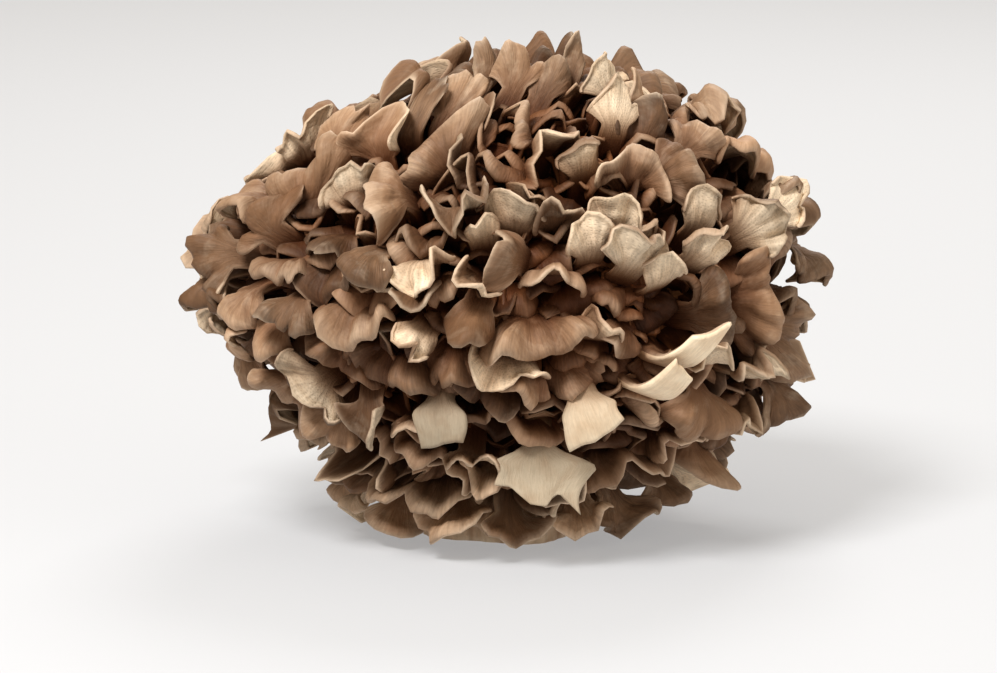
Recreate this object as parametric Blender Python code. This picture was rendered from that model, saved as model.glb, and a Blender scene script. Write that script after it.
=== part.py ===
"""Maitake, or hen-of-the-woods: one picked head, standing on its cut foot.

The fruit body grew as one piece: a short foot, cut flat, branches into a dense head of thin waved
fronds. The solid is built the same way. A lumpy core and the foot carry the fronds, each frond is a
round waved blade on a stalk whose root is sunk in the core, and one union makes a single body of them.
Metres, +Z up, origin at the middle of the cut face of the foot. The front of the head faces -Y.
"""

import collections
import math
import random

import bmesh
import bpy
import numpy as np
from mathutils.bvhtree import BVHTree

# Driving sizes of the head, over the tips of its fronds
HEAD_WIDTH = 0.186
HEAD_DEPTH = 0.168
HEAD_HEIGHT = 0.144

# How unevenly it grew, with heights as shares of the head's. The crown is a narrower tuft that leans right. Below
# its middle the head is fuller on the right. On the left it draws in above the middle and below it. At its foot
# the skirt of lowest fronds spreads.
TUFT_NARROWS = 0.24
TUFT_LEANS = 0.008
TUFT_RISES = (0.80, 0.95)
RIGHT_SWELLS = 0.08
RIGHT_FROM, RIGHT_TO = (0.02, 0.10), (0.28, 0.42)
LEFT_SHRINKS = 0.11
LEFT_FROM, LEFT_TO = (0.12, 0.20), (0.28, 0.42)
SHOULDER_SHRINKS = 0.13
SHOULDER_FROM, SHOULDER_TO = (0.62, 0.78), (0.84, 0.94)
SKIRT_SPREADS = 0.22
SKIRT_ENDS = (0.06, 0.20)
SIDE_BLEND = 0.025

# The core that the fronds grow from, as a share of the head
CORE_SHARE = 0.70
CORE_SUBDIVISIONS = 2
CORE_LUMP = 0.04
CORE_LUMPS = (5, 4, 5)  # how fast the lumps come and go across, in depth and in height
CORE_LUMPS_START = (1, 2, 0)

# The foot, cut flat where the head was picked
FOOT_RADIUS = 0.025
FOOT_NECK_RADIUS = 0.034
FOOT_HEIGHT = 0.034
FOOT_SIDES = 20
FOOT_FLUTES = 5
FLUTE_DEPTH = 0.07

# The fronds
STALK_HALF_WIDTH = 0.0042
ROOT_THICKNESS = 0.0036
MARGIN_THICKNESS = 0.0015
ROOT_DEPTH = 0.024
LOWEST_TIP = 0.0025
BLADE_START = 0.45  # how far along a frond its round blade begins
TIP_AHEAD = 0.40  # from the middle of the blade, where a frond is placed, to its tip, as a share of its length
ROOT_BELOW = 0.30  # how much deeper a longer frond is rooted, as a share of its length
ROOT_BEHIND = 0.55  # how far back along the head its root lies, as a share of its length
KNEE_UP = 0.55  # where its stalk begins to bend, as a share of the root depth
NECK_BACK = 0.75  # where its curve turns straight to the tip, as a share of its length
STALK_SPREAD = (0.2, 0.72)  # where along it the stalk begins and ends to widen into the blade
WAVES_RISE = (0.3, 1.0)
CUP_RISE = (0.3, 0.9)
ROLL_START = 0.7
GOLDEN_ANGLE = math.pi * (3 - math.sqrt(5))
SEED = 11

# The picture plane that the front fronds are placed on leans back by the height that the head is seen from
SIGHT_LINE = math.radians(11)

# Rows of a frond from root to margin: how far along it, and points across it
ROWS = ((0.0, 2), (0.45, 3), (0.78, 4), (1.0, 5))
OUT_OF_CORE = 0.25  # how far along its stalk a frond comes out of the core

MILLIMETRE = 0.001

# How each kind of frond is held. side is +1 where its brown cap faces out and -1 where its pale underside
# does. wave, cup and curl are in millimetres: the height of the margin's waves, the lift of its two sides and
# the roll of its margin. waves is how many half waves cross the frond.
Kind = collections.namedtuple("Kind", "side wave waves cup curl")
KINDS = {
    "cap": Kind(+1, 3.0, 2.2, -3.0, 3.5),
    "bowl": Kind(+1, 2.0, 1.6, 6.0, -3.0),
    "rim": Kind(+1, 3.5, 2.6, -2.0, 3.0),
    "under": Kind(-1, 2.6, 2.4, 2.5, 1.5),
    "torn": Kind(-1, 0.5, 1.2, 0.5, 0.0),
    "tip": Kind(+1, 1.2, 1.5, -1.0, 1.0),
}

Frond = collections.namedtuple("Frond", "kind across up wide long heading lean depth")

# The fronds that face the front, placed by eye in millimetres and degrees. across and up are where the middle
# of the blade is seen, measured on the picture plane from the foot. heading is where the tip points on that
# plane: 0 right, 90 up, 180 left and 270 down. lean turns the tip from lying along the head, 0, to standing
# straight out of it, 90.
FRONT = [
    Frond(*row)
    for row in (
        # crown
        ("cap", -4, 133, 20, 24, 95, 20, 1.0),
        ("cap", 8, 132, 18, 22, 65, 15, 1.0),
        ("tip", 16, 136, 8, 20, 40, 10, 1.0),
        ("tip", -18, 133, 9, 18, 150, 10, 1.0),
        ("cap", -25, 126, 20, 24, 125, 25, 1.0),
        ("tip", -34, 122, 12, 20, 140, 30, 1.0),
        ("bowl", -14, 123, 16, 22, 100, 40, 0.96),
        ("cap", -20, 113, 40, 30, 140, 40, 0.98),
        ("cap", -37, 95, 26, 28, 215, 25, 1.0),
        ("cap", 5, 121, 22, 24, 215, 45, 0.97),
        ("cap", 18, 119, 15, 22, 330, 40, 0.97),
        ("under", 29, 130, 22, 20, 100, 20, 0.98),
        ("under", 33, 122, 18, 22, 75, 15, 0.97),
        ("tip", 40, 127, 8, 18, 60, 10, 1.0),
        # right shoulder
        ("cap", 46, 119, 27, 24, 70, 20, 1.0),
        ("cap", 59, 115, 24, 24, 35, 15, 1.0),
        ("cap", 52, 105, 25, 24, 350, 35, 0.98),
        ("bowl", 39, 106, 25, 24, 80, 50, 0.96),
        ("rim", 33, 96, 42, 28, 280, 72, 0.98),
        ("cap", 73, 106, 22, 26, 350, 20, 1.0),
        ("rim", 75, 97, 25, 28, 300, 60, 1.0),
        ("under", 84, 93, 15, 28, 15, 15, 1.0),
        ("under", 77, 87, 20, 30, 20, 20, 0.97),
        ("under", 60, 90, 13, 24, 72, 25, 0.97),
        ("under", 60, 79, 15, 26, 55, 25, 0.98),
        ("bowl", 79, 78, 26, 28, 345, 25, 1.0),
        # middle
        ("rim", 12, 114, 36, 28, 285, 70, 0.98),
        ("cap", 0, 108, 22, 24, 265, 35, 0.93),
        ("rim", -6, 101, 36, 26, 275, 75, 0.97),
        ("rim", 6, 97, 26, 26, 260, 70, 0.96),
        ("under", 24, 107, 14, 20, 100, 25, 0.94),
        ("cap", -18, 104, 18, 22, 240, 40, 0.94),
        ("bowl", 17, 90, 16, 28, 85, 45, 0.97),
        ("under", 3, 89, 18, 22, 85, 30, 0.95),
        ("under", -7, 84, 10, 18, 100, 30, 0.95),
        ("under", 36, 87, 22, 24, 60, 30, 0.97),
        ("under", 26, 81, 17, 26, 95, 25, 0.97),
        ("under", 39, 77, 22, 30, 72, 20, 0.99),
        ("under", 47, 71, 17, 28, 66, 20, 0.97),
        ("under", 53, 81, 9, 26, 66, 20, 0.97),
        ("cap", 2, 77, 20, 26, 165, 35, 1.0),
        ("rim", 16, 72, 26, 26, 290, 68, 1.0),
        ("cap", 7, 67, 28, 24, 275, 40, 0.98),
        ("bowl", -11, 68, 18, 24, 255, 35, 0.98),
        ("under", -26, 72, 21, 22, 275, 20, 0.96),
        ("rim", -23, 84, 24, 26, 265, 72, 0.97),
        ("cap", -10, 57, 14, 30, 250, 20, 0.97),
        ("cap", 8, 49, 38, 28, 270, 30, 1.0),
        ("under", 0, 40, 26, 22, 265, 30, 0.95),
        ("bowl", -15, 43, 16, 22, 255, 30, 0.96),
        ("under", -27, 50, 13, 22, 240, 25, 0.95),
        ("cap", -20, 60, 12, 28, 235, 20, 0.95),
        ("under", 30, 51, 13, 22, 80, 30, 0.92),
        ("tip", 21, 53, 9, 24, 80, 40, 0.97),
        # left side
        ("rim", -48, 57, 28, 28, 255, 55, 1.0),
        ("cap", -66, 59, 22, 26, 255, 20, 1.0),
        ("bowl", -66, 45, 24, 26, 245, 25, 1.0),
        ("rim", -54, 41, 28, 26, 280, 70, 1.0),
        ("bowl", -42, 50, 24, 26, 70, 55, 0.96),
        ("cap", -86, 77, 24, 30, 205, 15, 1.0),
        ("cap", -82, 62, 19, 28, 240, 15, 0.99),
        ("cap", -75, 88, 26, 28, 150, 25, 0.98),
        ("cap", -67, 102, 30, 30, 130, 20, 1.0),
        ("under", -53, 99, 18, 22, 130, 30, 0.95),
        ("cap", -57, 116, 19, 26, 145, 20, 1.0),
        ("bowl", -45, 115, 24, 26, 110, 35, 0.95),
        ("cap", -54, 82, 18, 28, 290, 35, 0.94),
        ("cap", -55, 71, 28, 26, 280, 40, 0.95),
        ("rim", -42, 66, 30, 28, 275, 70, 0.97),
        ("rim", -71, 75, 20, 26, 280, 60, 0.97),
        ("cap", -75, 51, 17, 26, 245, 15, 0.99),
        ("tip", -71, 39, 12, 24, 260, 25, 0.99),
        ("under", -62, 34, 24, 26, 195, 30, 0.97),
        # skirt
        ("cap", -55, 28, 22, 26, 235, 25, 0.98),
        ("cap", -58, 24, 20, 26, 225, 25, 1.0),
        ("bowl", -46, 25, 17, 24, 270, 25, 0.96),
        ("cap", -37, 12, 40, 30, 240, 112, 1.0),
        ("cap", -36, 37, 38, 28, 250, 50, 0.97),
        ("torn", -21, 26, 16, 18, 272, 12, 0.96),
        ("rim", -4, 30, 24, 26, 250, 65, 0.93),
        ("torn", 9, 12, 27, 26, 266, 5, 1.0),
        ("torn", 24, 27, 15, 20, 285, 12, 0.97),
        ("torn", 43, 37, 9, 30, 62, 5, 1.0),
        ("torn", 52, 48, 9, 34, 66, 5, 1.02),
        ("under", 60, 44, 17, 26, 80, 20, 0.97),
        ("under", 73, 40, 21, 26, 70, 20, 0.98),
        ("cap", 81, 60, 34, 32, 350, 20, 1.0),
        ("cap", 64, 57, 28, 28, 10, 35, 0.97),
        ("cap", 47, 60, 24, 26, 200, 35, 0.96),
        ("cap", 79, 33, 28, 28, 320, 20, 0.99),
        ("cap", 55, 27, 28, 32, 255, 20, 1.0),
        ("cap", 68, 22, 24, 26, 310, 25, 1.0),
        ("cap", 41, 23, 19, 24, 30, 30, 0.96),
        ("cap", 56, 13, 24, 26, 300, 20, 1.0),
        ("cap", 41, 45, 26, 26, 300, 40, 0.93),
        ("cap", 30, 36, 24, 26, 320, 40, 0.93),
    )
]


def head_axes():
    """Half sizes of the ellipsoid that the fronds' tips lie on, and its centre."""
    half = np.array((HEAD_WIDTH, HEAD_DEPTH, HEAD_HEIGHT)) / 2
    return half, np.array((0.0, 0.0, HEAD_HEIGHT / 2))


def on_front(across, up):
    """The unit-sphere direction of the head's point that is seen at this place on the picture plane."""
    half, centre = head_axes()
    sight = np.array((0.0, math.cos(SIGHT_LINE), -math.sin(SIGHT_LINE)))
    plane_up = np.array((0.0, math.sin(SIGHT_LINE), math.cos(SIGHT_LINE)))
    seen = np.array((across, 0.0, 0.0)) + plane_up * up - centre
    start, step = seen / half, sight / half
    a, b, c = step @ step, start @ step, start @ start - 1
    reach = max(b * b - a * c, 0.0)
    spot = start + step * (-b - math.sqrt(reach)) / a
    return spot / np.linalg.norm(spot)


def tangents(direction):
    """Outward normal of the head there, and its right and up tangents as seen from outside."""
    half, _ = head_axes()
    outward = direction / half
    outward /= np.linalg.norm(outward)
    right = np.cross((0.0, 0.0, 1.0), outward)
    right /= max(np.linalg.norm(right), 1e-6)
    return outward, right, np.cross(outward, right)


def placed_frond(direction, frond, rng):
    """The curve and axes of a frond whose blade has its middle there, with its own waves drawn from rng."""
    half, centre = head_axes()
    kind = KINDS[frond.kind]
    outward, right, upward = tangents(direction)
    heading, lean = math.radians(frond.heading), math.radians(frond.lean)
    along = right * math.cos(heading) + upward * math.sin(heading)
    points = along * math.cos(lean) + outward * math.sin(lean)
    face = (outward * math.cos(lean) - along * math.sin(lean)) * kind.side
    long = frond.long * MILLIMETRE
    tip = centre + direction * half * frond.depth + along * (TIP_AHEAD * long * math.cos(lean))
    root = tip - outward * (ROOT_DEPTH + ROOT_BELOW * long) - along * (ROOT_BEHIND * long * math.cos(lean))
    knee = root + outward * KNEE_UP * ROOT_DEPTH
    neck = tip - points * NECK_BACK * long
    return {
        "curve": np.array((root, knee, neck, tip)),
        "across": np.cross(points, face),
        "half_width": frond.wide * MILLIMETRE / 2,
        "wave": kind.wave * rng.uniform(0.7, 1.3) * MILLIMETRE,
        "waves": kind.waves * rng.uniform(0.8, 1.25),
        "phase": rng.uniform(0, 2 * math.pi),
        "cup": kind.cup * rng.uniform(0.6, 1.4) * MILLIMETRE,
        "curl": kind.curl * rng.uniform(0.6, 1.4) * MILLIMETRE,
    }


def smooth(x, low, high):
    """0 below low and 1 above high, with an S-shaped rise between them."""
    t = np.clip((x - low) / (high - low), 0, 1)
    return t * t * (3 - 2 * t)


def uneven(points):
    """The points of an even head, moved to where the real one grew less and more."""
    x, height = points[:, 0], points[:, 2] / HEAD_HEIGHT
    high = smooth(height, *TUFT_RISES)
    tuft = (1 - TUFT_NARROWS * high) * (1 + SKIRT_SPREADS * (1 - smooth(height, *SKIRT_ENDS)))
    right = RIGHT_SWELLS * smooth(height, *RIGHT_FROM) * (1 - smooth(height, *RIGHT_TO))
    left = LEFT_SHRINKS * smooth(height, *LEFT_FROM) * (1 - smooth(height, *LEFT_TO))
    left += SHOULDER_SHRINKS * smooth(height, *SHOULDER_FROM) * (1 - smooth(height, *SHOULDER_TO))
    swell = 1 + np.where(x > 0, right, -left) * smooth(np.abs(x), 0, SIDE_BLEND)
    return np.stack((x * tuft * swell + TUFT_LEANS * high, points[:, 1] * tuft, points[:, 2]), axis=1)


def frond_surface(f, u, v):
    """Middle surface of a frond and its upper normal. u runs from -1 to 1 across it, and v from 0 to 1 along it.

    A cubic curve from the root to the tip is spread sideways into a stalk and then a blade. Over the blade
    the square of u and v is drawn into a half disc, x = u sqrt(1 - t^2/2) and y = t sqrt(1 - u^2/2), so its
    corners fall on a round outline. It is lifted by waves that grow toward the margin, by its cupped sides
    and by the roll of the margin itself.
    """
    t = np.clip((v - BLADE_START) / (1 - BLADE_START), 0, 1)
    ahead = np.where(v < BLADE_START, v, BLADE_START + (1 - BLADE_START) * t * np.sqrt(1 - u * u / 2))
    side = u * np.sqrt(1 - t * t / 2)
    back = ahead[:, None]
    p0, p1, p2, p3 = f["curve"]
    spine = (
        p0 * (1 - back) ** 3
        + 3 * p1 * back * (1 - back) ** 2
        + 3 * p2 * back**2 * (1 - back)
        + p3 * back**3
    )
    tangent = (p1 - p0) * (1 - back) ** 2 + 2 * (p2 - p1) * back * (1 - back) + (p3 - p2) * back**2
    tangent /= np.linalg.norm(tangent, axis=1)[:, None]
    upper = np.cross(f["across"], tangent)
    upper /= np.linalg.norm(upper, axis=1)[:, None]
    half = STALK_HALF_WIDTH + (f["half_width"] - STALK_HALF_WIDTH) * smooth(ahead, *STALK_SPREAD)
    lift = f["wave"] * smooth(v, *WAVES_RISE) * np.sin(f["waves"] * math.pi * u + f["phase"])
    lift += f["cup"] * side * side * smooth(v, *CUP_RISE)
    lift -= f["curl"] * np.clip((v - ROLL_START) / (1 - ROLL_START), 0, 1) ** 2
    return spine + f["across"] * (side * half)[:, None] + upper * lift[:, None], upper


def row_bridge(low, high):
    """Triangles between two rows of points that differ in number, each row a list of indices."""
    faces = []
    i = j = 0
    while i < len(low) - 1 or j < len(high) - 1:
        low_next = (i + 0.5) / (len(low) - 1)
        high_next = (j + 0.5) / (len(high) - 1)
        if j == len(high) - 1 or (i < len(low) - 1 and low_next < high_next):
            faces.append((low[i], low[i + 1], high[j]))
            i += 1
        else:
            faces.append((low[i], high[j + 1], high[j]))
            j += 1
    return faces


def blade_faces():
    """The faces of a blade over the points that blade_points gives, upper and lower sheet side by side."""
    counts = [count for _, count in ROWS]
    starts = np.cumsum([0] + counts)
    total = int(starts[-1])
    sides = {int(s) for s in starts[:-1]} | {int(s) - 1 for s in starts[1:]}
    rows = [list(range(starts[k], starts[k + 1])) for k in range(len(counts))]

    def under(i):
        return i if i in sides else i + total

    faces = []
    for low, high in zip(rows, rows[1:]):
        for a, b, c in row_bridge(low, high):
            faces += [(a, b, c), (under(c), under(b), under(a))]
    margin = rows[-1]
    for a, b in zip(margin, margin[1:]):
        faces.append(tuple(dict.fromkeys((b, a, under(a), under(b)))))
    return faces


BLADE_FACES = blade_faces()


def blade_points(f, first=0.0):
    """A blade's points: two waved sheets that meet in sharp sides and stand apart at the margin."""
    shares = [max(share, first) for share, _ in ROWS]
    u = np.concatenate([np.linspace(-1, 1, count) for _, count in ROWS])
    v = np.concatenate([np.full(count, share) for share, (_, count) in zip(shares, ROWS)])
    middle, upper = frond_surface(f, u, v)
    thick = (ROOT_THICKNESS + (MARGIN_THICKNESS - ROOT_THICKNESS) * v) * (np.abs(u) < 0.999)
    top = middle + upper * (thick / 2)[:, None]
    low = middle - upper * (thick / 2)[:, None]
    top[:, 2] = np.maximum(top[:, 2], LOWEST_TIP + MARGIN_THICKNESS)
    low[:, 2] = np.maximum(low[:, 2], LOWEST_TIP)
    return np.concatenate((top, low))


def frond_mesh(name, f):
    """The closed mesh of one frond."""
    mesh = bmesh.new()
    points = [mesh.verts.new(p) for p in uneven(blade_points(f))]
    for face in BLADE_FACES:
        mesh.faces.new([points[i] for i in face])
    bmesh.ops.delete(mesh, geom=[p for p in points if not p.link_faces], context="VERTS")
    bmesh.ops.recalc_face_normals(mesh, faces=mesh.faces)
    data = bpy.data.meshes.new(name)
    mesh.to_mesh(data)
    mesh.free()
    return data


# How the fronds that fill the rest of the head are held, by how high they stand on it: for each kind its share
# of the draw, its heading and its lean. Low on the head many turn up and show their pale side, and the lowest
# bend back out like a skirt.
HIGH, LOW, LOWEST = 0.35, -0.35, -0.66
HABITS = {
    "high": (("cap", 6, 265, 14), ("rim", 2, 270, 50), ("under", 1, 85, 22), ("bowl", 2, 262, 25)),
    "level": (("cap", 7, 268, 16), ("rim", 2, 270, 52), ("under", 1, 85, 24), ("bowl", 2, 262, 26)),
    "low": (("cap", 4, 268, 18), ("rim", 1, 270, 50), ("under", 4, 88, 30), ("bowl", 1, 265, 30)),
    "skirt": (("cap", 5, 270, 114), ("rim", 1, 270, 100), ("under", 3, 90, 32), ("bowl", 1, 270, 110)),
}


# The rounds in which the rest of the head fills up: the spots tried, and the widest and longest frond in
# millimetres
FILLING = ((160, 40, 34), (260, 32, 30), (310, 23, 26))
OUTSIDE = 1.3  # a place well outside the fronds, as a share of the head
HEADING_SPREAD = 40
LEAN_SPREAD = 10
SIZE_SPREAD = (0.75, 0.85)  # the smallest width and length of a round, as shares of its widest and longest
DEPTHS = (0.94, 1.0)
FOOT_ZONE = -0.88  # the fronds stop at this height on the unit sphere, where the foot comes out


def spiral_spots(count):
    """Directions spread evenly over the head, from the crown down to the foot, along a golden-angle spiral."""
    for k in range(count):
        height = 1 - 2 * (k + 0.5) / count
        if height > FOOT_ZONE:
            ring = math.sqrt(1 - height * height)
            turn = k * GOLDEN_ANGLE
            yield np.array((ring * math.sin(turn), -ring * math.cos(turn), height))


def filling_frond(direction, widest, longest, rng):
    """A frond of the kind that grows at that height on the head."""
    height = direction[2]
    band = "high" if height > HIGH else "level" if height > LOW else "low" if height > LOWEST else "skirt"
    kind, _, heading, lean = rng.choices(HABITS[band], [row[1] for row in HABITS[band]])[0]
    wide, long = (most * rng.uniform(least, 1.0) for most, least in zip((widest, longest), SIZE_SPREAD))
    heading += rng.uniform(-HEADING_SPREAD, HEADING_SPREAD)
    lean += rng.uniform(-LEAN_SPREAD, LEAN_SPREAD)
    return Frond(kind, 0, 0, wide, long, heading, lean, rng.uniform(*DEPTHS))


def is_bare(direction, others):
    """Whether a straight way in from outside the head reaches the core there with no frond before it."""
    half, centre = head_axes()
    way = direction * half
    outside = centre + way * OUTSIDE
    reach = float(np.linalg.norm(way)) * (OUTSIDE - CORE_SHARE)
    return all(tree.ray_cast(outside, -way, reach)[0] is None for tree, _, _ in others)


# How a frond gives way to the others: how often it tries, and how far its last try may turn, tilt, narrow,
# shorten, sink and rise
TRIES = 24
TURN, TILT = 45, 30
NARROW, SHORTEN = 0.45, 0.25
SINK, RISE = 0.10, 0.01


def varied(frond, k, rng):
    """The frond as placed at the first try, and then bent and shortened more and more to find room."""
    if k == 0:
        return frond
    give = k / TRIES
    return frond._replace(
        heading=frond.heading + rng.uniform(-TURN, TURN) * give,
        lean=frond.lean + rng.uniform(-TILT, TILT) * give,
        wide=frond.wide * rng.uniform(1 - NARROW * give, 1.0),
        long=frond.long * rng.uniform(1 - SHORTEN * give, 1.0),
        depth=frond.depth + rng.uniform(-SINK, RISE) * give,
    )


def is_clear(tree, low, high, others):
    """Whether a frond crosses none of the others. Each is kept with the corners of its box."""
    for other, other_low, other_high in others:
        apart = any(a > b for a, b in zip(low, other_high)) or any(a < b for a, b in zip(high, other_low))
        if not apart and tree.overlap(other):
            return False
    return True


def grow_one(direction, frond, grown, others, rng):
    """Adds the frond, bent clear of those that grew before it, or leaves it out if it finds no room."""
    for k in range(TRIES):
        blade = placed_frond(direction, varied(frond, k, rng), rng)
        points = blade_points(blade, OUT_OF_CORE)
        tree = BVHTree.FromPolygons(points.tolist(), BLADE_FACES)
        low, high = points.min(axis=0).tolist(), points.max(axis=0).tolist()
        if is_clear(tree, low, high, others):
            grown.append(blade)
            others.append((tree, low, high))
            return


def growing_order(frond):
    """Sorts torn fronds and pale undersides to the start, since they catch the eye, and then the largest."""
    return frond.kind != "torn", frond.kind != "under", -frond.wide * frond.long


def grow_fronds():
    """Every frond: the front ones where they are seen, and then ever smaller ones where the head is bare."""
    rng = random.Random(SEED)
    grown, others = [], []
    for frond in sorted(FRONT, key=growing_order):
        grow_one(on_front(frond.across * MILLIMETRE, frond.up * MILLIMETRE), frond, grown, others, rng)
    for count, widest, longest in FILLING:
        for direction in spiral_spots(count):
            if is_bare(direction, others):
                grow_one(direction, filling_frond(direction, widest, longest, rng), grown, others, rng)
    return grown


def clear_scene():
    for thing in list(bpy.data.objects):
        bpy.data.objects.remove(thing)


def collection(name):
    made = bpy.data.collections.new(name)
    bpy.context.scene.collection.children.link(made)
    return made


def move_to(thing, target):
    for owner in list(thing.users_collection):
        owner.objects.unlink(thing)
    target.objects.link(thing)


def make_core(target):
    """The solid middle of the head, where the branches are too dense to see between."""
    half, centre = head_axes()
    bpy.ops.mesh.primitive_ico_sphere_add(subdivisions=CORE_SUBDIVISIONS, radius=1.0)
    core = bpy.context.object
    core.name = "maitake"
    core.data.name = "maitake"
    for vertex in core.data.vertices:
        x, y, z = (fast * c + first for fast, c, first in zip(CORE_LUMPS, vertex.co, CORE_LUMPS_START))
        lump = 1 + CORE_LUMP * math.sin(x) * math.sin(y) * math.cos(z)
        point = centre + np.array(vertex.co) * half * CORE_SHARE * lump
        vertex.co = uneven(point[None, :])[0]
    move_to(core, target)
    return core


def make_foot(target):
    """The foot, fluted where its branches begin and widening into the core, with its cut face flat below."""
    bpy.ops.mesh.primitive_cone_add(
        vertices=FOOT_SIDES,
        radius1=FOOT_RADIUS,
        radius2=FOOT_NECK_RADIUS,
        depth=FOOT_HEIGHT,
        location=(0, 0, FOOT_HEIGHT / 2),
    )
    foot = bpy.context.object
    foot.name = "foot"
    for vertex in foot.data.vertices:
        turn = math.atan2(vertex.co.y, vertex.co.x)
        flute = 1 + FLUTE_DEPTH * math.cos(FOOT_FLUTES * turn)
        vertex.co.x *= flute
        vertex.co.y *= flute
    move_to(foot, target)
    return foot


def brown_cap():
    material = bpy.data.materials.new("frond_brown")
    material.use_nodes = True
    shader = material.node_tree.nodes["Principled BSDF"]
    shader.inputs["Base Color"].default_value = (0.19, 0.105, 0.058, 1)
    shader.inputs["Roughness"].default_value = 0.72
    shader.inputs["Metallic"].default_value = 0.0
    return material


def keep_largest_skin(thing):
    """Drops the skins of sealed hollows and of loose scraps, which leaves the one outer body."""
    mesh = bmesh.new()
    mesh.from_mesh(thing.data)
    left = set(mesh.verts)
    skins = []
    while left:
        grown = [left.pop()]
        skin = set(grown)
        while grown:
            vertex = grown.pop()
            for edge in vertex.link_edges:
                other = edge.other_vert(vertex)
                if other not in skin:
                    skin.add(other)
                    grown.append(other)
        left -= skin
        skins.append(skin)
    skins.sort(key=len)
    for skin in skins[:-1]:
        bmesh.ops.delete(mesh, geom=list(skin), context="VERTS")
    mesh.to_mesh(thing.data)
    mesh.free()


def build():
    clear_scene()
    whole = collection("maitake_head")
    joined = collection("grown_together")
    core = make_core(whole)
    make_foot(joined)
    blades = grow_fronds()
    for number, blade in enumerate(blades):
        name = f"frond_{number:03d}"
        thing = bpy.data.objects.new(name, frond_mesh(name, blade))
        joined.objects.link(thing)
    union = core.modifiers.new("grow_together", "BOOLEAN")
    union.operation = "UNION"
    union.operand_type = "COLLECTION"
    union.collection = joined
    union.solver = "MANIFOLD"
    bpy.context.view_layer.objects.active = core
    bpy.ops.object.modifier_apply(modifier=union.name)
    for thing in list(joined.objects):
        bpy.data.objects.remove(thing)
    bpy.data.collections.remove(joined)
    keep_largest_skin(core)
    core.data.materials.clear()
    core.data.materials.append(brown_cap())
    core.data.shade_flat()
    print("fronds", len(blades), "triangles", sum(len(p.vertices) - 2 for p in core.data.polygons))


build()
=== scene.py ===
# %% [markdown]
# A maitake head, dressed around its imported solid.
#
# A maitake is one fruit body. A short pale foot branches again and again, and every branch ends in a thin
# waved frond, brown and silky above and pale with fine pores below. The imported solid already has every
# frond in its place, with only a few faces each. Here the same fronds grow again by the same rule, as fine
# surfaces with rolled margins, and take the solid's place. A learner could sculpt one frond and scatter
# copies, but no two fronds are alike, so a formula with seeded draws gives each its own waves.

# %% Load the solid as a fixed frame
import math
import random
from collections import namedtuple

import bpy
import numpy as np
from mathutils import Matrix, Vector
from mathutils.bvhtree import BVHTree


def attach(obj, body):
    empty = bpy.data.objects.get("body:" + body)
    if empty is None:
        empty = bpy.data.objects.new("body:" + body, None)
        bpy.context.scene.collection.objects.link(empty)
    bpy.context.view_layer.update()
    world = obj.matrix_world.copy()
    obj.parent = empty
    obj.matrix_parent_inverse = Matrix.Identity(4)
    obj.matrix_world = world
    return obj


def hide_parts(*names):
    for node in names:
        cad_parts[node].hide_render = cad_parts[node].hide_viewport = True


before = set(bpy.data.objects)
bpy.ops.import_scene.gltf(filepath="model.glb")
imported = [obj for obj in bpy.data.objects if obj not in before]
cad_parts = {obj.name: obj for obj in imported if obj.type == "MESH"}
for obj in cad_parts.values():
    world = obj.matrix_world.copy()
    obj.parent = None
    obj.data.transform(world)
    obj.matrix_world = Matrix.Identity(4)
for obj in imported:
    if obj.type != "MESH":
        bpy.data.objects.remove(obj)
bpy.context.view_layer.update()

# %% [markdown]
# The camera looks down on the head by about 11 degrees, as the photograph does. Its distance isn't known,
# so a long lens from well back is used, which keeps the near fronds from looking larger than they are.
# The width of the view comes from the plate that the photograph is measured by.

# %% The camera
MILLIMETRE = 0.001
SIGHT_LINE = math.radians(11)
EYE_DISTANCE = 1.6
VIEW_WIDTH = 0.2845
SENSOR_WIDTH = 36.0
AIM_ACROSS, AIM_UP = -0.0019, 0.0535

plane_up = np.array((0.0, math.sin(SIGHT_LINE), math.cos(SIGHT_LINE)))
sight = np.array((0.0, math.cos(SIGHT_LINE), -math.sin(SIGHT_LINE)))
eye = np.array((AIM_ACROSS, 0.0, 0.0)) + plane_up * AIM_UP - sight * EYE_DISTANCE

lens = bpy.data.cameras.new("camera")
camera = bpy.data.objects.new("camera", lens)
bpy.context.scene.collection.objects.link(camera)
camera.location = Vector(eye)
camera.rotation_mode = "QUATERNION"
camera.rotation_quaternion = Vector(sight).to_track_quat("-Z", "Y")
lens.sensor_width = SENSOR_WIDTH
lens.lens = SENSOR_WIDTH * EYE_DISTANCE / VIEW_WIDTH
lens.clip_start = 0.05
lens.clip_end = 50.0
bpy.context.scene.camera = camera
print("lens", round(lens.lens), "mm")

# %% [markdown]
# The driving sizes are the solid's own. The head is an ellipsoid over the tips of its fronds, a smaller
# core carries them, and each frond is a stalk that widens into a round blade.

# %% Sizes of the head and of its fronds
HEAD_WIDTH = 0.186
HEAD_DEPTH = 0.168
HEAD_HEIGHT = 0.144

# How unevenly it grew, with heights as shares of the head's. The crown is a narrower tuft that leans
# right. Below its middle the head is fuller on the right. On the left it draws in above the middle and
# below it. At its foot the skirt of lowest fronds spreads.
TUFT_NARROWS = 0.24
TUFT_LEANS = 0.008
TUFT_RISES = (0.80, 0.95)
RIGHT_SWELLS = 0.08
RIGHT_FROM, RIGHT_TO = (0.02, 0.10), (0.28, 0.42)
LEFT_SHRINKS = 0.11
LEFT_FROM, LEFT_TO = (0.12, 0.20), (0.28, 0.42)
SHOULDER_SHRINKS = 0.13
SHOULDER_FROM, SHOULDER_TO = (0.62, 0.78), (0.84, 0.94)
SKIRT_SPREADS = 0.22
SKIRT_ENDS = (0.06, 0.20)
SIDE_BLEND = 0.025

# The core that the fronds grow from, as a share of the head
CORE_SHARE = 0.70

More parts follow.
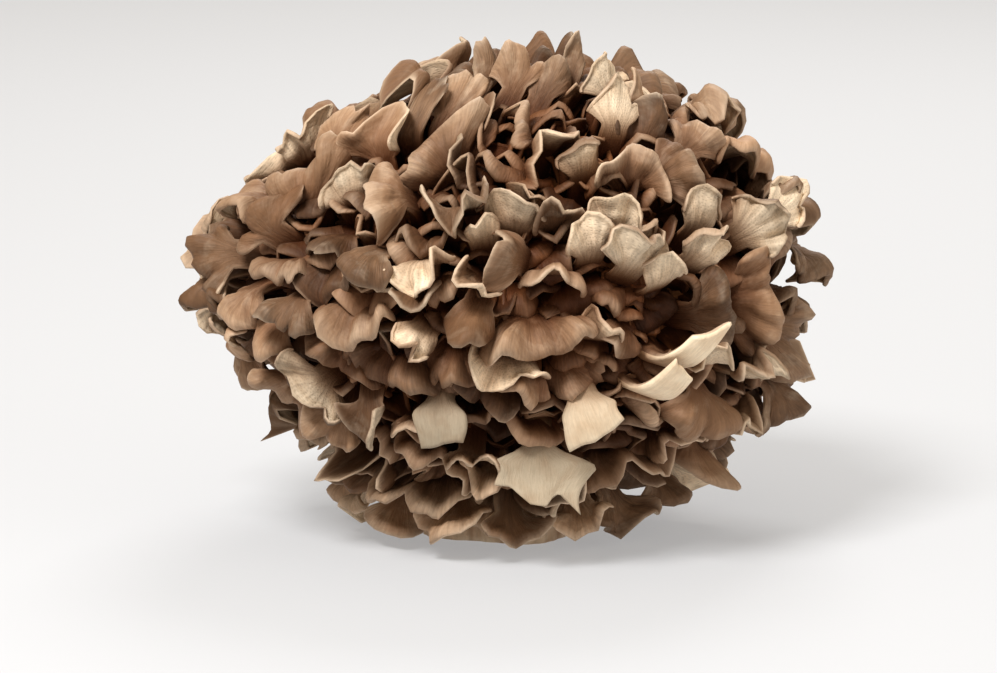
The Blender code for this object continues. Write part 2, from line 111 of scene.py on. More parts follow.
# The foot, cut flat where the head was picked
FOOT_RADIUS = 0.025
FOOT_NECK_RADIUS = 0.034
FOOT_FLUTES = 5
FLUTE_DEPTH = 0.07

# The fronds
STALK_HALF_WIDTH = 0.0042
ROOT_THICKNESS = 0.0036
MARGIN_THICKNESS = 0.0015
ROOT_DEPTH = 0.024
LOWEST_TIP = 0.0025
BLADE_START = 0.45  # how far along a frond its round blade begins
TIP_AHEAD = 0.40  # from the middle of the blade, where a frond is placed, to its tip, in lengths
ROOT_BELOW = 0.30  # how much deeper a longer frond is rooted, as a share of its length
ROOT_BEHIND = 0.55  # how far back along the head its root lies, as a share of its length
KNEE_UP = 0.55  # where its stalk begins to bend, as a share of the root depth
NECK_BACK = 0.75  # where its curve turns straight to the tip, as a share of its length
STALK_SPREAD = (0.2, 0.72)  # where along it the stalk begins and ends to widen into the blade
WAVES_RISE = (0.3, 1.0)
CUP_RISE = (0.3, 0.9)
ROLL_START = 0.7
GOLDEN_ANGLE = math.pi * (3 - math.sqrt(5))
SEED = 11
# Rows of a frond from root to margin: how far along it, and points across it
ROWS = ((0.0, 2), (0.45, 3), (0.78, 4), (1.0, 5))
OUT_OF_CORE = 0.25  # how far along its stalk a frond comes out of the core

# %% [markdown]
# Fronds are held in a few ways: lying caps, cups, rims that stand edge-on to the eye, turned-up ones that
# show their pale underside, torn faces where one broke off, and narrow young tips.

# %% The kinds of frond
# side is +1 where a frond's brown cap faces out and -1 where its pale underside does. wave, cup and curl
# are in millimetres: the height of the margin's waves, the lift of its two sides and the roll of its
# margin. waves is how many half waves cross the frond.
Kind = namedtuple("Kind", "side wave waves cup curl")
KINDS = {
    "cap": Kind(+1, 3.0, 2.2, -3.0, 3.5),
    "bowl": Kind(+1, 2.0, 1.6, 6.0, -3.0),
    "rim": Kind(+1, 3.5, 2.6, -2.0, 3.0),
    "under": Kind(-1, 2.6, 2.4, 2.5, 1.5),
    "torn": Kind(-1, 0.5, 1.2, 0.5, 0.0),
    "tip": Kind(+1, 1.2, 1.5, -1.0, 1.0),
}

Frond = namedtuple("Frond", "kind across up wide long heading lean depth")

# %% [markdown]
# The fronds of the front are placed one by one, because that side has a likeness to meet. A list of
# a hundred rows is long, but a rule can't know where a frond happened to grow.

# %% The fronds of the front
# Each row is a kind and then across, up, wide, long, heading, lean and depth, in millimetres, degrees and
# shares. across and up are where the middle of the blade is seen, measured on the picture plane from the
# foot. heading is where the tip points on that plane: 0 right, 90 up, 180 left and 270 down. lean turns
# the tip from lying along the head, 0, to standing straight out of it, 90.
FRONT_ROWS = """
# crown
cap -4 133 20 24 95 20 1.0
cap 8 132 18 22 65 15 1.0
tip 16 136 8 20 40 10 1.0
tip -18 133 9 18 150 10 1.0
cap -25 126 20 24 125 25 1.0
tip -34 122 12 20 140 30 1.0
bowl -14 123 16 22 100 40 0.96
cap -20 113 40 30 140 40 0.98
cap -37 95 26 28 215 25 1.0
cap 5 121 22 24 215 45 0.97
cap 18 119 15 22 330 40 0.97
under 29 130 22 20 100 20 0.98
under 33 122 18 22 75 15 0.97
tip 40 127 8 18 60 10 1.0
# right shoulder
cap 46 119 27 24 70 20 1.0
cap 59 115 24 24 35 15 1.0
cap 52 105 25 24 350 35 0.98
bowl 39 106 25 24 80 50 0.96
rim 33 96 42 28 280 72 0.98
cap 73 106 22 26 350 20 1.0
rim 75 97 25 28 300 60 1.0
under 84 93 15 28 15 15 1.0
under 77 87 20 30 20 20 0.97
under 60 90 13 24 72 25 0.97
under 60 79 15 26 55 25 0.98
bowl 79 78 26 28 345 25 1.0
# middle
rim 12 114 36 28 285 70 0.98
cap 0 108 22 24 265 35 0.93
rim -6 101 36 26 275 75 0.97
rim 6 97 26 26 260 70 0.96
under 24 107 14 20 100 25 0.94
cap -18 104 18 22 240 40 0.94
bowl 17 90 16 28 85 45 0.97
under 3 89 18 22 85 30 0.95
under -7 84 10 18 100 30 0.95
under 36 87 22 24 60 30 0.97
under 26 81 17 26 95 25 0.97
under 39 77 22 30 72 20 0.99
under 47 71 17 28 66 20 0.97
under 53 81 9 26 66 20 0.97
cap 2 77 20 26 165 35 1.0
rim 16 72 26 26 290 68 1.0
cap 7 67 28 24 275 40 0.98
bowl -11 68 18 24 255 35 0.98
under -26 72 21 22 275 20 0.96
rim -23 84 24 26 265 72 0.97
cap -10 57 14 30 250 20 0.97
cap 8 49 38 28 270 30 1.0
under 0 40 26 22 265 30 0.95
bowl -15 43 16 22 255 30 0.96
under -27 50 13 22 240 25 0.95
cap -20 60 12 28 235 20 0.95
under 30 51 13 22 80 30 0.92
tip 21 53 9 24 80 40 0.97
# left side
rim -48 57 28 28 255 55 1.0
cap -66 59 22 26 255 20 1.0
bowl -66 45 24 26 245 25 1.0
rim -54 41 28 26 280 70 1.0
bowl -42 50 24 26 70 55 0.96
cap -86 77 24 30 205 15 1.0
cap -82 62 19 28 240 15 0.99
cap -75 88 26 28 150 25 0.98
cap -67 102 30 30 130 20 1.0
under -53 99 18 22 130 30 0.95
cap -57 116 19 26 145 20 1.0
bowl -45 115 24 26 110 35 0.95
cap -54 82 18 28 290 35 0.94
cap -55 71 28 26 280 40 0.95
rim -42 66 30 28 275 70 0.97
rim -71 75 20 26 280 60 0.97
cap -75 51 17 26 245 15 0.99
tip -71 39 12 24 260 25 0.99
under -62 34 24 26 195 30 0.97
# skirt
cap -55 28 22 26 235 25 0.98
cap -58 24 20 26 225 25 1.0
bowl -46 25 17 24 270 25 0.96
cap -37 12 40 30 240 112 1.0
cap -36 37 38 28 250 50 0.97
torn -21 26 16 18 272 12 0.96
rim -4 30 24 26 250 65 0.93
torn 9 12 27 26 266 5 1.0
torn 24 27 15 20 285 12 0.97
torn 43 37 9 30 62 5 1.0
torn 52 48 9 34 66 5 1.02
under 60 44 17 26 80 20 0.97
under 73 40 21 26 70 20 0.98
cap 81 60 34 32 350 20 1.0
cap 64 57 28 28 10 35 0.97
cap 47 60 24 26 200 35 0.96
cap 79 33 28 28 320 20 0.99
cap 55 27 28 32 255 20 1.0
cap 68 22 24 26 310 25 1.0
cap 41 23 19 24 30 30 0.96
cap 56 13 24 26 300 20 1.0
cap 41 45 26 26 300 40 0.93
cap 30 36 24 26 320 40 0.93
"""
FRONT = []
for row in FRONT_ROWS.split("\n"):
    if row and not row.startswith("#"):
        kind, *numbers = row.split()
        FRONT.append(Frond(kind, *map(float, numbers)))
print("front fronds", len(FRONT))

# %% [markdown]
# A place on the head is a direction on a unit sphere, stretched onto the ellipsoid. A front frond's place
# is found by following a sight line from the picture plane to the head.

# %% Places on the head
def head_axes():
    """Half sizes of the ellipsoid that the fronds' tips lie on, and its centre."""
    half = np.array((HEAD_WIDTH, HEAD_DEPTH, HEAD_HEIGHT)) / 2
    return half, np.array((0.0, 0.0, HEAD_HEIGHT / 2))


def on_front(across, up):
    """The unit-sphere direction of the head's point that is seen at this place on the picture plane."""
    half, centre = head_axes()
    seen = np.array((across, 0.0, 0.0)) + plane_up * up - centre
    start, step = seen / half, sight / half
    a, b, c = step @ step, start @ step, start @ start - 1
    reach = max(b * b - a * c, 0.0)
    spot = start + step * (-b - math.sqrt(reach)) / a
    return spot / np.linalg.norm(spot)


def tangents(direction):
    """Outward normal of the head there, and its right and up tangents as seen from outside."""
    half, _ = head_axes()
    outward = direction / half
    outward /= np.linalg.norm(outward)
    right = np.cross((0.0, 0.0, 1.0), outward)
    right /= max(np.linalg.norm(right), 1e-6)
    return outward, right, np.cross(outward, right)


def placed_frond(direction, frond, rng):
    """The curve and axes of a frond whose blade has its middle there, with its own waves drawn from rng."""
    half, centre = head_axes()
    kind = KINDS[frond.kind]
    outward, right, upward = tangents(direction)
    heading, lean = math.radians(frond.heading), math.radians(frond.lean)
    along = right * math.cos(heading) + upward * math.sin(heading)
    points = along * math.cos(lean) + outward * math.sin(lean)
    face = (outward * math.cos(lean) - along * math.sin(lean)) * kind.side
    long = frond.long * MILLIMETRE
    tip = centre + direction * half * frond.depth + along * (TIP_AHEAD * long * math.cos(lean))
    root = tip - outward * (ROOT_DEPTH + ROOT_BELOW * long) - along * (ROOT_BEHIND * long * math.cos(lean))
    knee = root + outward * KNEE_UP * ROOT_DEPTH
    neck = tip - points * NECK_BACK * long
    return {
        "kind": frond.kind,
        "direction": direction,
        "curve": np.array((root, knee, neck, tip)),
        "across": np.cross(points, face),
        "half_width": frond.wide * MILLIMETRE / 2,
        "wave": kind.wave * rng.uniform(0.7, 1.3) * MILLIMETRE,
        "waves": kind.waves * rng.uniform(0.8, 1.25),
        "phase": rng.uniform(0, 2 * math.pi),
        "cup": kind.cup * rng.uniform(0.6, 1.4) * MILLIMETRE,
        "curl": kind.curl * rng.uniform(0.6, 1.4) * MILLIMETRE,
    }

# %% [markdown]
# A frond's middle surface is a function of two parameters, so the same formula serves the few faces of the
# solid and the thousands of this model.

# %% The surface of a frond
def smooth(x, low, high):
    """0 below low and 1 above high, with an S-shaped rise between them."""
    t = np.clip((x - low) / (high - low), 0, 1)
    return t * t * (3 - 2 * t)


def uneven(points):
    """The points of an even head, moved to where the real one grew less and more."""
    x, height = points[:, 0], points[:, 2] / HEAD_HEIGHT
    high = smooth(height, *TUFT_RISES)
    tuft = (1 - TUFT_NARROWS * high) * (1 + SKIRT_SPREADS * (1 - smooth(height, *SKIRT_ENDS)))
    right = RIGHT_SWELLS * smooth(height, *RIGHT_FROM) * (1 - smooth(height, *RIGHT_TO))
    left = LEFT_SHRINKS * smooth(height, *LEFT_FROM) * (1 - smooth(height, *LEFT_TO))
    left += SHOULDER_SHRINKS * smooth(height, *SHOULDER_FROM) * (1 - smooth(height, *SHOULDER_TO))
    swell = 1 + np.where(x > 0, right, -left) * smooth(np.abs(x), 0, SIDE_BLEND)
    return np.stack((x * tuft * swell + TUFT_LEANS * high, points[:, 1] * tuft, points[:, 2]), axis=1)


def spine_of(f, ahead):
    """Points and upper normals along the frond's middle curve, a cubic through root, knee, neck and tip."""
    back = ahead[..., None]
    p0, p1, p2, p3 = f["curve"]
    spine = (
        p0 * (1 - back) ** 3
        + 3 * p1 * back * (1 - back) ** 2
        + 3 * p2 * back**2 * (1 - back)
        + p3 * back**3
    )
    tangent = (p1 - p0) * (1 - back) ** 2 + 2 * (p2 - p1) * back * (1 - back) + (p3 - p2) * back**2
    tangent /= np.linalg.norm(tangent, axis=-1)[..., None]
    upper = np.cross(f["across"], tangent)
    upper /= np.linalg.norm(upper, axis=-1)[..., None]
    return spine, upper


def frond_surface(f, u, v):
    """Middle surface of a frond and its upper normal. u runs from -1 to 1 across and v from 0 to 1 along.

    The middle curve is spread sideways into a stalk and then a blade. Over the blade
    the square of u and v is drawn into a half disc, x = u sqrt(1 - t^2/2) and y = t sqrt(1 - u^2/2), so its
    corners fall on a round outline. It is lifted by waves that grow toward the margin, by its cupped sides
    and by the roll of the margin itself.
    """
    t = np.clip((v - BLADE_START) / (1 - BLADE_START), 0, 1)
    ahead = np.where(v < BLADE_START, v, BLADE_START + (1 - BLADE_START) * t * np.sqrt(1 - u * u / 2))
    side = u * np.sqrt(1 - t * t / 2)
    spine, upper = spine_of(f, ahead)
    half = STALK_HALF_WIDTH + (f["half_width"] - STALK_HALF_WIDTH) * smooth(ahead, *STALK_SPREAD)
    lift = f["wave"] * smooth(v, *WAVES_RISE) * np.sin(f["waves"] * math.pi * u + f["phase"])
    lift += f["cup"] * side * side * smooth(v, *CUP_RISE)
    lift -= f["curl"] * np.clip((v - ROLL_START) / (1 - ROLL_START), 0, 1) ** 2
    return spine + f["across"] * (side * half)[:, None] + upper * lift[:, None], upper

# %% [markdown]
# While the head grows, each frond looks for room among those before it. The test uses the same few-faced
# blade as the solid, which is quick, and it has to be the same or the two heads would grow apart.

# %% The blade that looks for room
def row_bridge(low, high):
    """Triangles between two rows of points that differ in number, each row a list of indices."""
    faces = []
    i = j = 0
    while i < len(low) - 1 or j < len(high) - 1:
        low_next = (i + 0.5) / (len(low) - 1)
        high_next = (j + 0.5) / (len(high) - 1)
        if j == len(high) - 1 or (i < len(low) - 1 and low_next < high_next):
            faces.append((low[i], low[i + 1], high[j]))
            i += 1
        else:
            faces.append((low[i], high[j + 1], high[j]))
            j += 1
    return faces


def blade_faces():
    """The faces of a blade over the points that blade_points gives, upper and lower sheet side by side."""
    counts = [count for _, count in ROWS]
    starts = np.cumsum([0] + counts)
    total = int(starts[-1])
    sides = {int(s) for s in starts[:-1]} | {int(s) - 1 for s in starts[1:]}
    rows = [list(range(starts[k], starts[k + 1])) for k in range(len(counts))]

    def under(i):
        return i if i in sides else i + total

    faces = []
    for low, high in zip(rows, rows[1:]):
        for a, b, c in row_bridge(low, high):
            faces += [(a, b, c), (under(c), under(b), under(a))]
    margin = rows[-1]
    for a, b in zip(margin, margin[1:]):
        faces.append(tuple(dict.fromkeys((b, a, under(a), under(b)))))
    return faces


BLADE_FACES = blade_faces()


def blade_points(f, first=0.0):
    """A blade's points: two waved sheets that meet in sharp sides and stand apart at the margin."""
    shares = [max(share, first) for share, _ in ROWS]
    u = np.concatenate([np.linspace(-1, 1, count) for _, count in ROWS])
    v = np.concatenate([np.full(count, share) for share, (_, count) in zip(shares, ROWS)])
    middle, upper = frond_surface(f, u, v)
    thick = (ROOT_THICKNESS + (MARGIN_THICKNESS - ROOT_THICKNESS) * v) * (np.abs(u) < 0.999)
    top = middle + upper * (thick / 2)[:, None]
    low = middle - upper * (thick / 2)[:, None]
    top[:, 2] = np.maximum(top[:, 2], LOWEST_TIP + MARGIN_THICKNESS)
    low[:, 2] = np.maximum(low[:, 2], LOWEST_TIP)
    return np.concatenate((top, low))

# %% [markdown]
# The rest of the head fills up by a rule: a golden-angle spiral offers evenly spread spots, and a frond
# grows wherever the way to the core is still bare.

# %% How the head grows
# How the fronds that fill the rest of the head are held, by how high they stand on it: for each kind its
# share of the draw, its heading and its lean. Low on the head many turn up and show their pale side, and
# the lowest bend back out like a skirt.
HIGH, LOW, LOWEST = 0.35, -0.35, -0.66
HABITS = {
    "high": (("cap", 6, 265, 14), ("rim", 2, 270, 50), ("under", 1, 85, 22), ("bowl", 2, 262, 25)),
    "level": (("cap", 7, 268, 16), ("rim", 2, 270, 52), ("under", 1, 85, 24), ("bowl", 2, 262, 26)),
    "low": (("cap", 4, 268, 18), ("rim", 1, 270, 50), ("under", 4, 88, 30), ("bowl", 1, 265, 30)),
    "skirt": (("cap", 5, 270, 114), ("rim", 1, 270, 100), ("under", 3, 90, 32), ("bowl", 1, 270, 110)),
}


# The rounds in which the rest fills up: the spots tried, and the widest and longest frond in millimetres
FILLING = ((160, 40, 34), (260, 32, 30), (310, 23, 26))
OUTSIDE = 1.3  # a place well outside the fronds, as a share of the head
HEADING_SPREAD = 40
LEAN_SPREAD = 10
SIZE_SPREAD = (0.75, 0.85)  # the smallest width and length of a round, as shares of its widest and longest
DEPTHS = (0.94, 1.0)
FOOT_ZONE = -0.88  # the fronds stop at this height on the unit sphere, where the foot comes out


def spiral_spots(count):
    """Directions spread evenly over the head, from the crown to the foot, along a golden-angle spiral."""
    for k in range(count):
        height = 1 - 2 * (k + 0.5) / count
        if height > FOOT_ZONE:
            ring = math.sqrt(1 - height * height)
            turn = k * GOLDEN_ANGLE
            yield np.array((ring * math.sin(turn), -ring * math.cos(turn), height))


def filling_frond(direction, widest, longest, rng):
    """A frond of the kind that grows at that height on the head."""
    height = direction[2]
    band = "high" if height > HIGH else "level" if height > LOW else "low" if height > LOWEST else "skirt"
    kind, _, heading, lean = rng.choices(HABITS[band], [row[1] for row in HABITS[band]])[0]
    wide, long = (most * rng.uniform(least, 1.0) for most, least in zip((widest, longest), SIZE_SPREAD))
    heading += rng.uniform(-HEADING_SPREAD, HEADING_SPREAD)
    lean += rng.uniform(-LEAN_SPREAD, LEAN_SPREAD)
    return Frond(kind, 0, 0, wide, long, heading, lean, rng.uniform(*DEPTHS))


def is_open(direction, others, share):
    """Whether a straight way in from outside comes to that share of the head with no frond before it."""
    half, centre = head_axes()
    way = direction * half
    reach = float(np.linalg.norm(way)) * (OUTSIDE - share)
    return all(tree.ray_cast(centre + way * OUTSIDE, -way, reach)[0] is None for tree, _, _ in others)


# How a frond gives way to the others: how often it tries, and how far its last try may turn, tilt, narrow,
# shorten, sink and rise
TRIES = 24
TURN, TILT = 45, 30
NARROW, SHORTEN = 0.45, 0.25
SINK, RISE = 0.10, 0.01


def varied(frond, k, rng):
    """The frond as placed at the first try, and then bent and shortened more and more to find room."""
    if k == 0:
        return frond
    give = k / TRIES
    return frond._replace(
        heading=frond.heading + rng.uniform(-TURN, TURN) * give,
        lean=frond.lean + rng.uniform(-TILT, TILT) * give,
        wide=frond.wide * rng.uniform(1 - NARROW * give, 1.0),
        long=frond.long * rng.uniform(1 - SHORTEN * give, 1.0),
        depth=frond.depth + rng.uniform(-SINK, RISE) * give,
    )


def is_clear(tree, low, high, others):
    """Whether a frond crosses none of the others. Each is kept with the corners of its box."""
    for other, other_low, other_high in others:
        apart = any(a > b for a, b in zip(low, other_high)) or any(a < b for a, b in zip(high, other_low))
        if not apart and tree.overlap(other):
            return False
    return True


def outline_of(blade):
    """The tree of a blade's triangles and the corners of its box, as the other fronds are tested against."""
    points = blade_points(blade, OUT_OF_CORE)
    tree = BVHTree.FromPolygons(points.tolist(), BLADE_FACES)
    return tree, points.min(axis=0).tolist(), points.max(axis=0).tolist()


def grow_one(direction, frond, grown, others, rng):
    """Adds the frond, bent clear of those that grew before it, or leaves it out if it finds no room."""
    for k in range(TRIES):
        blade = placed_frond(direction, varied(frond, k, rng), rng)
        outline = outline_of(blade)
        if is_clear(*outline, others):
            grown.append(blade)
            others.append(outline)
            return


def growing_order(frond):
    """Sorts torn fronds and pale undersides to the start, since they catch the eye, and then the largest."""
    return frond.kind != "torn", frond.kind != "under", -frond.wide * frond.long


def grow_fronds():
    """Every frond: the front ones where they are seen, and then ever smaller ones where the head is bare."""
    rng = random.Random(SEED)
    grown, others = [], []
    for frond in sorted(FRONT, key=growing_order):
        grow_one(on_front(frond.across * MILLIMETRE, frond.up * MILLIMETRE), frond, grown, others, rng)
    for count, widest, longest in FILLING:
        for direction in spiral_spots(count):
            if is_open(direction, others, CORE_SHARE):
                grow_one(direction, filling_frond(direction, widest, longest, rng), grown, others, rng)
    return grown


# %% Grow the head
blades = grow_fronds()
print("fronds", len(blades))

# %% [markdown]
# On the real thing the cap skin is a felt of brown fibres that run from the stalk to the margin. It is pale
# near the stalk, dark in a band inside the margin, and worn to a light line on the margin itself. None of
# that is an image here. Each mesh carries a few numbers at every point, and the shader reads them: grain
# says where on its frond a point is, in millimetres, with a place of its own in the noise for every frond.

# %% Helpers for the shaders
# The brown of the painted shade that darkens every finish where a point lies deep inside the head
DEEP_SHADE = (0.37, 0.195, 0.095)


class Finish:
    """A Principled finish, with what is the same all over it set on the shader's own sockets.

    Most of its methods add a node or a few, and give back the socket to read from.
    """

    def __init__(self, name, roughness, specular):
        self.material = bpy.data.materials.new(name)
        self.material.use_nodes = True
        self.nodes = self.material.node_tree.nodes
        self.shader = self.nodes["Principled BSDF"]
        self.shader.inputs["Roughness"].default_value = roughness
        self.shader.inputs["Specular IOR Level"].default_value = specular

    def give(self, socket, value):
        """Sets the socket to a plain number or a colour, or links another socket to it."""
        if isinstance(value, (int, float)):
            socket.default_value = value
        elif isinstance(value, tuple):
            socket.default_value = (*value, 1)
        else:
            self.material.node_tree.links.new(value, socket)

    def read(self, name, output="Fac"):
        """A number or a vector that the mesh carries at its points."""
        node = self.nodes.new("ShaderNodeAttribute")
        node.attribute_name = name
        return node.outputs[output]

    def grain(self, *scale):
        """The place on the frond, drawn out or squeezed along each of its own directions."""
        node = self.nodes.new("ShaderNodeMapping")
        node.inputs["Scale"].default_value = scale
        self.give(node.inputs["Vector"], self.read("grain", "Vector"))
        return node.outputs["Vector"]

    def noise(self, across, along, detail, roughness=0.55):
        """Noise with so many patches to a millimetre across and along the frond."""
        node = self.nodes.new("ShaderNodeTexNoise")
        node.inputs["Scale"].default_value = 1.0
        node.inputs["Detail"].default_value = detail
        node.inputs["Roughness"].default_value = roughness
        self.give(node.inputs["Vector"], self.grain(across, along, 1.0))
        return node.outputs["Fac"]

    def reckon(self, operation, a, b):
        """One step of arithmetic on two sockets or plain numbers."""
        node = self.nodes.new("ShaderNodeMath")
        node.operation = operation
        self.give(node.inputs[0], a)
        self.give(node.inputs[1], b)
        return node.outputs["Value"]

    def spread(self, value, low, high, to_low, to_high):
        """The value carried from one range to another, held at the range's ends."""
        node = self.nodes.new("ShaderNodeMapRange")
        for name, number in (("From Min", low), ("From Max", high), ("To Min", to_low), ("To Max", to_high)):
            node.inputs[name].default_value = number
        self.give(node.inputs["Value"], value)
        return node.outputs["Result"]

    def ramp(self, value, stops):
        """A colour read off a row of stops."""
        node = self.nodes.new("ShaderNodeValToRGB")
        points = node.color_ramp.elements
        points[0].position, points[0].color = stops[0][0], (*stops[0][1], 1)
        points[1].position, points[1].color = stops[-1][0], (*stops[-1][1], 1)
        for place, colour in stops[1:-1]:
            points.new(place).color = (*colour, 1)
        self.give(node.inputs["Fac"], value)
        return node.outputs["Color"]

    def blend(self, share, a, b, way="MIX"):
        """Colour b laid over colour a by its share."""
        node = self.nodes.new("ShaderNodeMix")
        node.data_type = "RGBA"
        node.blend_type = way
        for number, value in ((0, share), (6, a), (7, b)):
            self.give(node.inputs[number], value)
        return node.outputs[2]

    def shade(self, colour, value, low, high, darkest, lightest):
        """The colour times a number that goes from darkest to lightest as the value goes from low to high."""
        grey = self.nodes.new("ShaderNodeCombineXYZ")
        times = self.spread(value, low, high, darkest, lightest)
        for socket in grey.inputs:
            self.give(socket, times)
        return self.blend(1.0, colour, grey.outputs["Vector"], "MULTIPLY")

    def weighed(self, a, weight_a, b, weight_b):
        """The sum of two values, each times its weight."""
        return self.reckon("ADD", self.reckon("MULTIPLY", a, weight_a), self.reckon("MULTIPLY", b, weight_b))

    def finished(self, colour, height, depth):
        """The material with its colour, darkened toward brown by painted shade deep among the fronds.

        Its bump comes from a height between 0 and 1 that stands for so many metres.
        """
        # Painted shade: the deeper a point lies inside the head, the more its colour is darkened to brown
        painted_shade_colour = self.blend(self.read("deep"), colour, DEEP_SHADE, "MULTIPLY")
        self.give(self.shader.inputs["Base Color"], painted_shade_colour)
        bump = self.nodes.new("ShaderNodeBump")
        bump.inputs["Strength"].default_value = 1.0
        bump.inputs["Distance"].default_value = depth
        self.give(bump.inputs["Height"], height)
        self.give(self.shader.inputs["Normal"], bump.outputs["Normal"])
        return self.material


# %% The brown cap skin
def cap_skin():
    """Fibres are noise drawn out along the frond, over wrinkles and soft blotches.

    A fresh cap darkens from the stalk to the margin. On others the colour runs the other way, with painted
    highlight on the margin and painted shade near the stalk.
    """
    cap = Finish("cap_skin", 0.60, 0.30)
    fibre = cap.noise(2.6, 0.16, 4.0, 0.6)
    blotch = cap.noise(0.15, 0.15, 4.0, 0.6)
    wrinkle = cap.noise(0.55, 0.17, 3.0, 0.6)
    place = cap.reckon("ADD", cap.read("reach"), cap.spread(blotch, 0.3, 0.7, -0.16, 0.16))
    fresh = cap.ramp(place, (
        (0.25, (0.350, 0.225, 0.138)),
        (0.60, (0.275, 0.165, 0.095)),
        (0.85, (0.185, 0.103, 0.055)),
        (1.00, (0.120, 0.064, 0.033)),
    ))
    # Painted light: lighter toward the margin, where light catches it, and darker toward the stalk, where
    # shade falls
    painted_light_ramp = cap.ramp(place, (
        (0.25, (0.125, 0.066, 0.034)),
        (0.55, (0.205, 0.122, 0.070)),
        (0.80, (0.295, 0.192, 0.120)),
        (0.97, (0.390, 0.278, 0.190)),
    ))
    skin = cap.blend(cap.spread(cap.read("tone"), 0.30, 0.65, 0.0, 1.0), fresh, painted_light_ramp)
    skin = cap.blend(cap.spread(blotch, 0.52, 0.72, 0.0, 0.6), skin, (0.50, 0.385, 0.28))
    skin = cap.shade(skin, fibre, 0.30, 0.70, 0.78, 1.20)
    skin = cap.shade(skin, wrinkle, 0.30, 0.70, 0.84, 1.15)
    skin = cap.blend(cap.spread(cap.read("warmth"), 0.0, 1.0, 0.0, 0.40), skin, (0.38, 0.205, 0.105))
    skin = cap.shade(skin, cap.read("tone"), 0.0, 1.0, 0.70, 1.22)
    edge = cap.reckon("MULTIPLY", cap.read("rim"), cap.spread(blotch, 0.35, 0.6, 0.35, 0.95))
    skin = cap.blend(edge, skin, (0.72, 0.56, 0.41))
    return cap.finished(skin, cap.weighed(fibre, 0.3, wrinkle, 0.7), 0.00080)


# %% [markdown]
# The underside has no gills. It is a sheet of fine pores, cream when fresh and tan where it was handled,
# and the pores run a little way down the stalk. Cells of a Voronoi pattern, shrunk to the real size of
# about one to a millimetre, are the pores.

# %% The pored underside
def pore_skin():
    """Pores are dips at the middles of Voronoi cells, over long streaks and soft tan blotches."""
    under = Finish("pore_skin", 0.75, 0.25)
    cells = under.nodes.new("ShaderNodeTexVoronoi")
    cells.voronoi_dimensions = "2D"
    cells.inputs["Scale"].default_value = 1.0
    cells.inputs["Randomness"].default_value = 0.7
    under.give(cells.inputs["Vector"], under.grain(1.25, 1.25, 1.0))
    pore = under.spread(cells.outputs["Distance"], 0.12, 0.36, 0.0, 1.0)
    blotch = under.noise(0.13, 0.13, 4.0, 0.6)
    streak = under.noise(0.9, 0.08, 4.0, 0.6)
    skin = under.blend(under.spread(blotch, 0.46, 0.74, 0.0, 0.8), (0.94, 0.77, 0.57), (0.62, 0.44, 0.28))
    skin = under.shade(skin, streak, 0.3, 0.7, 0.66, 1.12)
    skin = under.shade(skin, pore, 0.0, 1.0, 0.88, 1.02)
    skin = under.blend(under.reckon("MULTIPLY", under.read("rim"), 0.40), skin, (0.40, 0.27, 0.17))
    skin = under.shade(skin, under.read("tone"), 0.0, 1.0, 0.66, 1.06)
    # Painted shade: undersides deep inside the head are darkened further toward dark brown
    skin = under.blend(under.spread(under.read("deep"), 0.2, 0.8, 0.0, 1.0), skin, (0.22, 0.125, 0.062))
    return under.finished(skin, under.weighed(pore, 0.12, streak, 0.88), 0.00060)


# %% [markdown]
# Where a frond broke off, its flesh shows: nearly white, and fibrous like string cheese.

# %% The torn and cut flesh
def torn_flesh():
    """Long fibres of noise over a pale cream."""
    flesh = Finish("torn_flesh", 0.7, 0.25)
    fibre = flesh.noise(2.2, 0.25, 5.0, 0.65)
    blotch = flesh.spread(flesh.noise(0.14, 0.14, 3.0), 0.42, 0.70, 0.0, 0.8)
    skin = flesh.blend(blotch, (0.82, 0.68, 0.50), (0.66, 0.49, 0.33))
    skin = flesh.shade(skin, fibre, 0.3, 0.7, 0.86, 1.06)
    # On torn fronds the tone carries painted shade, darker to the left of the head
    skin = flesh.shade(skin, flesh.read("tone"), 0.0, 1.0, 0.48, 1.16)
    return flesh.finished(skin, fibre, 0.00030)


def stalk_skin():
    """Coarse fibres up the stalks, over blotches of cream and tan."""
    stalk = Finish("stalk_skin", 0.7, 0.25)
    fibre = stalk.noise(0.8, 0.16, 4.0, 0.6)
    blotch = stalk.spread(stalk.noise(0.12, 0.12, 3.0), 0.35, 0.65, 0.0, 1.0)
    skin = stalk.blend(blotch, (0.80, 0.66, 0.49), (0.58, 0.42, 0.28))
    skin = stalk.shade(skin, fibre, 0.3, 0.7, 0.86, 1.10)
    return stalk.finished(skin, fibre, 0.00045)


CAP_SKIN = cap_skin()
PORE_SKIN = pore_skin()
TORN_FLESH = torn_flesh()
STALK_SKIN = stalk_skin()
print("finishes", [m.name for m in (CAP_SKIN, PORE_SKIN, TORN_FLESH, STALK_SKIN)])

# %% [markdown]
# A frond is a closed body: an upper and a lower sheet of one grid, which share the points of their outline.
# The grid is finest at that outline, because a margin only looks round if several rows go round it.

# %% The grid of a frond
CELL = 1.15 * MILLIMETRE
USUAL_LENGTH = 28 * MILLIMETRE  # of a frond, from which the number of its grid's rows is taken
ROWS_RANGE = 13, 25
CROWDING = 0.45  # how far the grid's lines crowd toward the outline, from 0, evenly spread, to 0.5
FIRST_ROW = 0.15  # the grid begins this far along the frond, inside the core


def crowded(t):
    """Places that crowd toward 1, and toward -1 if t goes there, by t (1 + c - c t^2)."""
    return t * (1 + CROWDING - CROWDING * t * t)


def frond_grid(columns, rows):
    """u across and v along a frond at each point of its grid, both as arrays of rows by columns."""
    u = crowded(np.linspace(-1, 1, columns))
    v = FIRST_ROW + (1 - FIRST_ROW) * crowded(np.linspace(0, 1, rows))
    return np.meshgrid(u, v)


